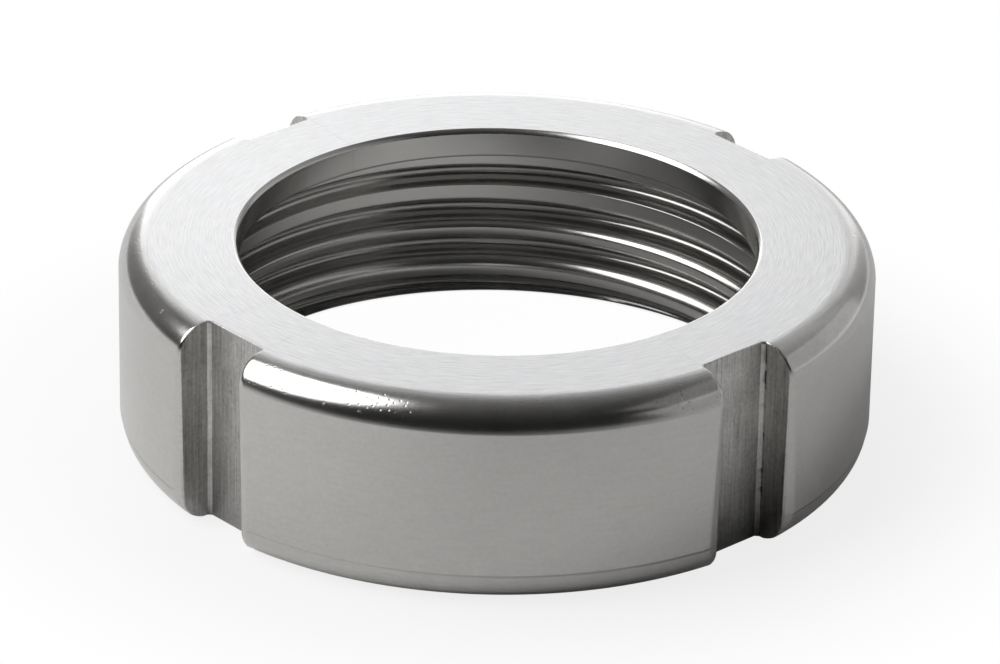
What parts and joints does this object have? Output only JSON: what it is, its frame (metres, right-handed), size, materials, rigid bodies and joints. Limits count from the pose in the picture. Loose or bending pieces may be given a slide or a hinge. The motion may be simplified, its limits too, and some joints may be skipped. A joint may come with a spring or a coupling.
{
  "type": "union nut",
  "caption": "Round slotted union nut: a turned ring with a collar at one end, a round-thread bore at the other and straight wrench slots milled across its wall",
  "frame": {"origin": "centre of the mouth rim, on the nut's axis, in the plane that it stands on", "axes": "+Z runs along the nut's axis from the mouth to the collar face; the slots lie on the diagonals between X and Y"},
  "size_m": [0.07, 0.07, 0.0197],
  "materials": {
    "stainless_steel": "turned satin stainless steel"
  },
  "bodies": {
    "root": {"union_nut": "stainless_steel"}
  },
  "joints": []
}
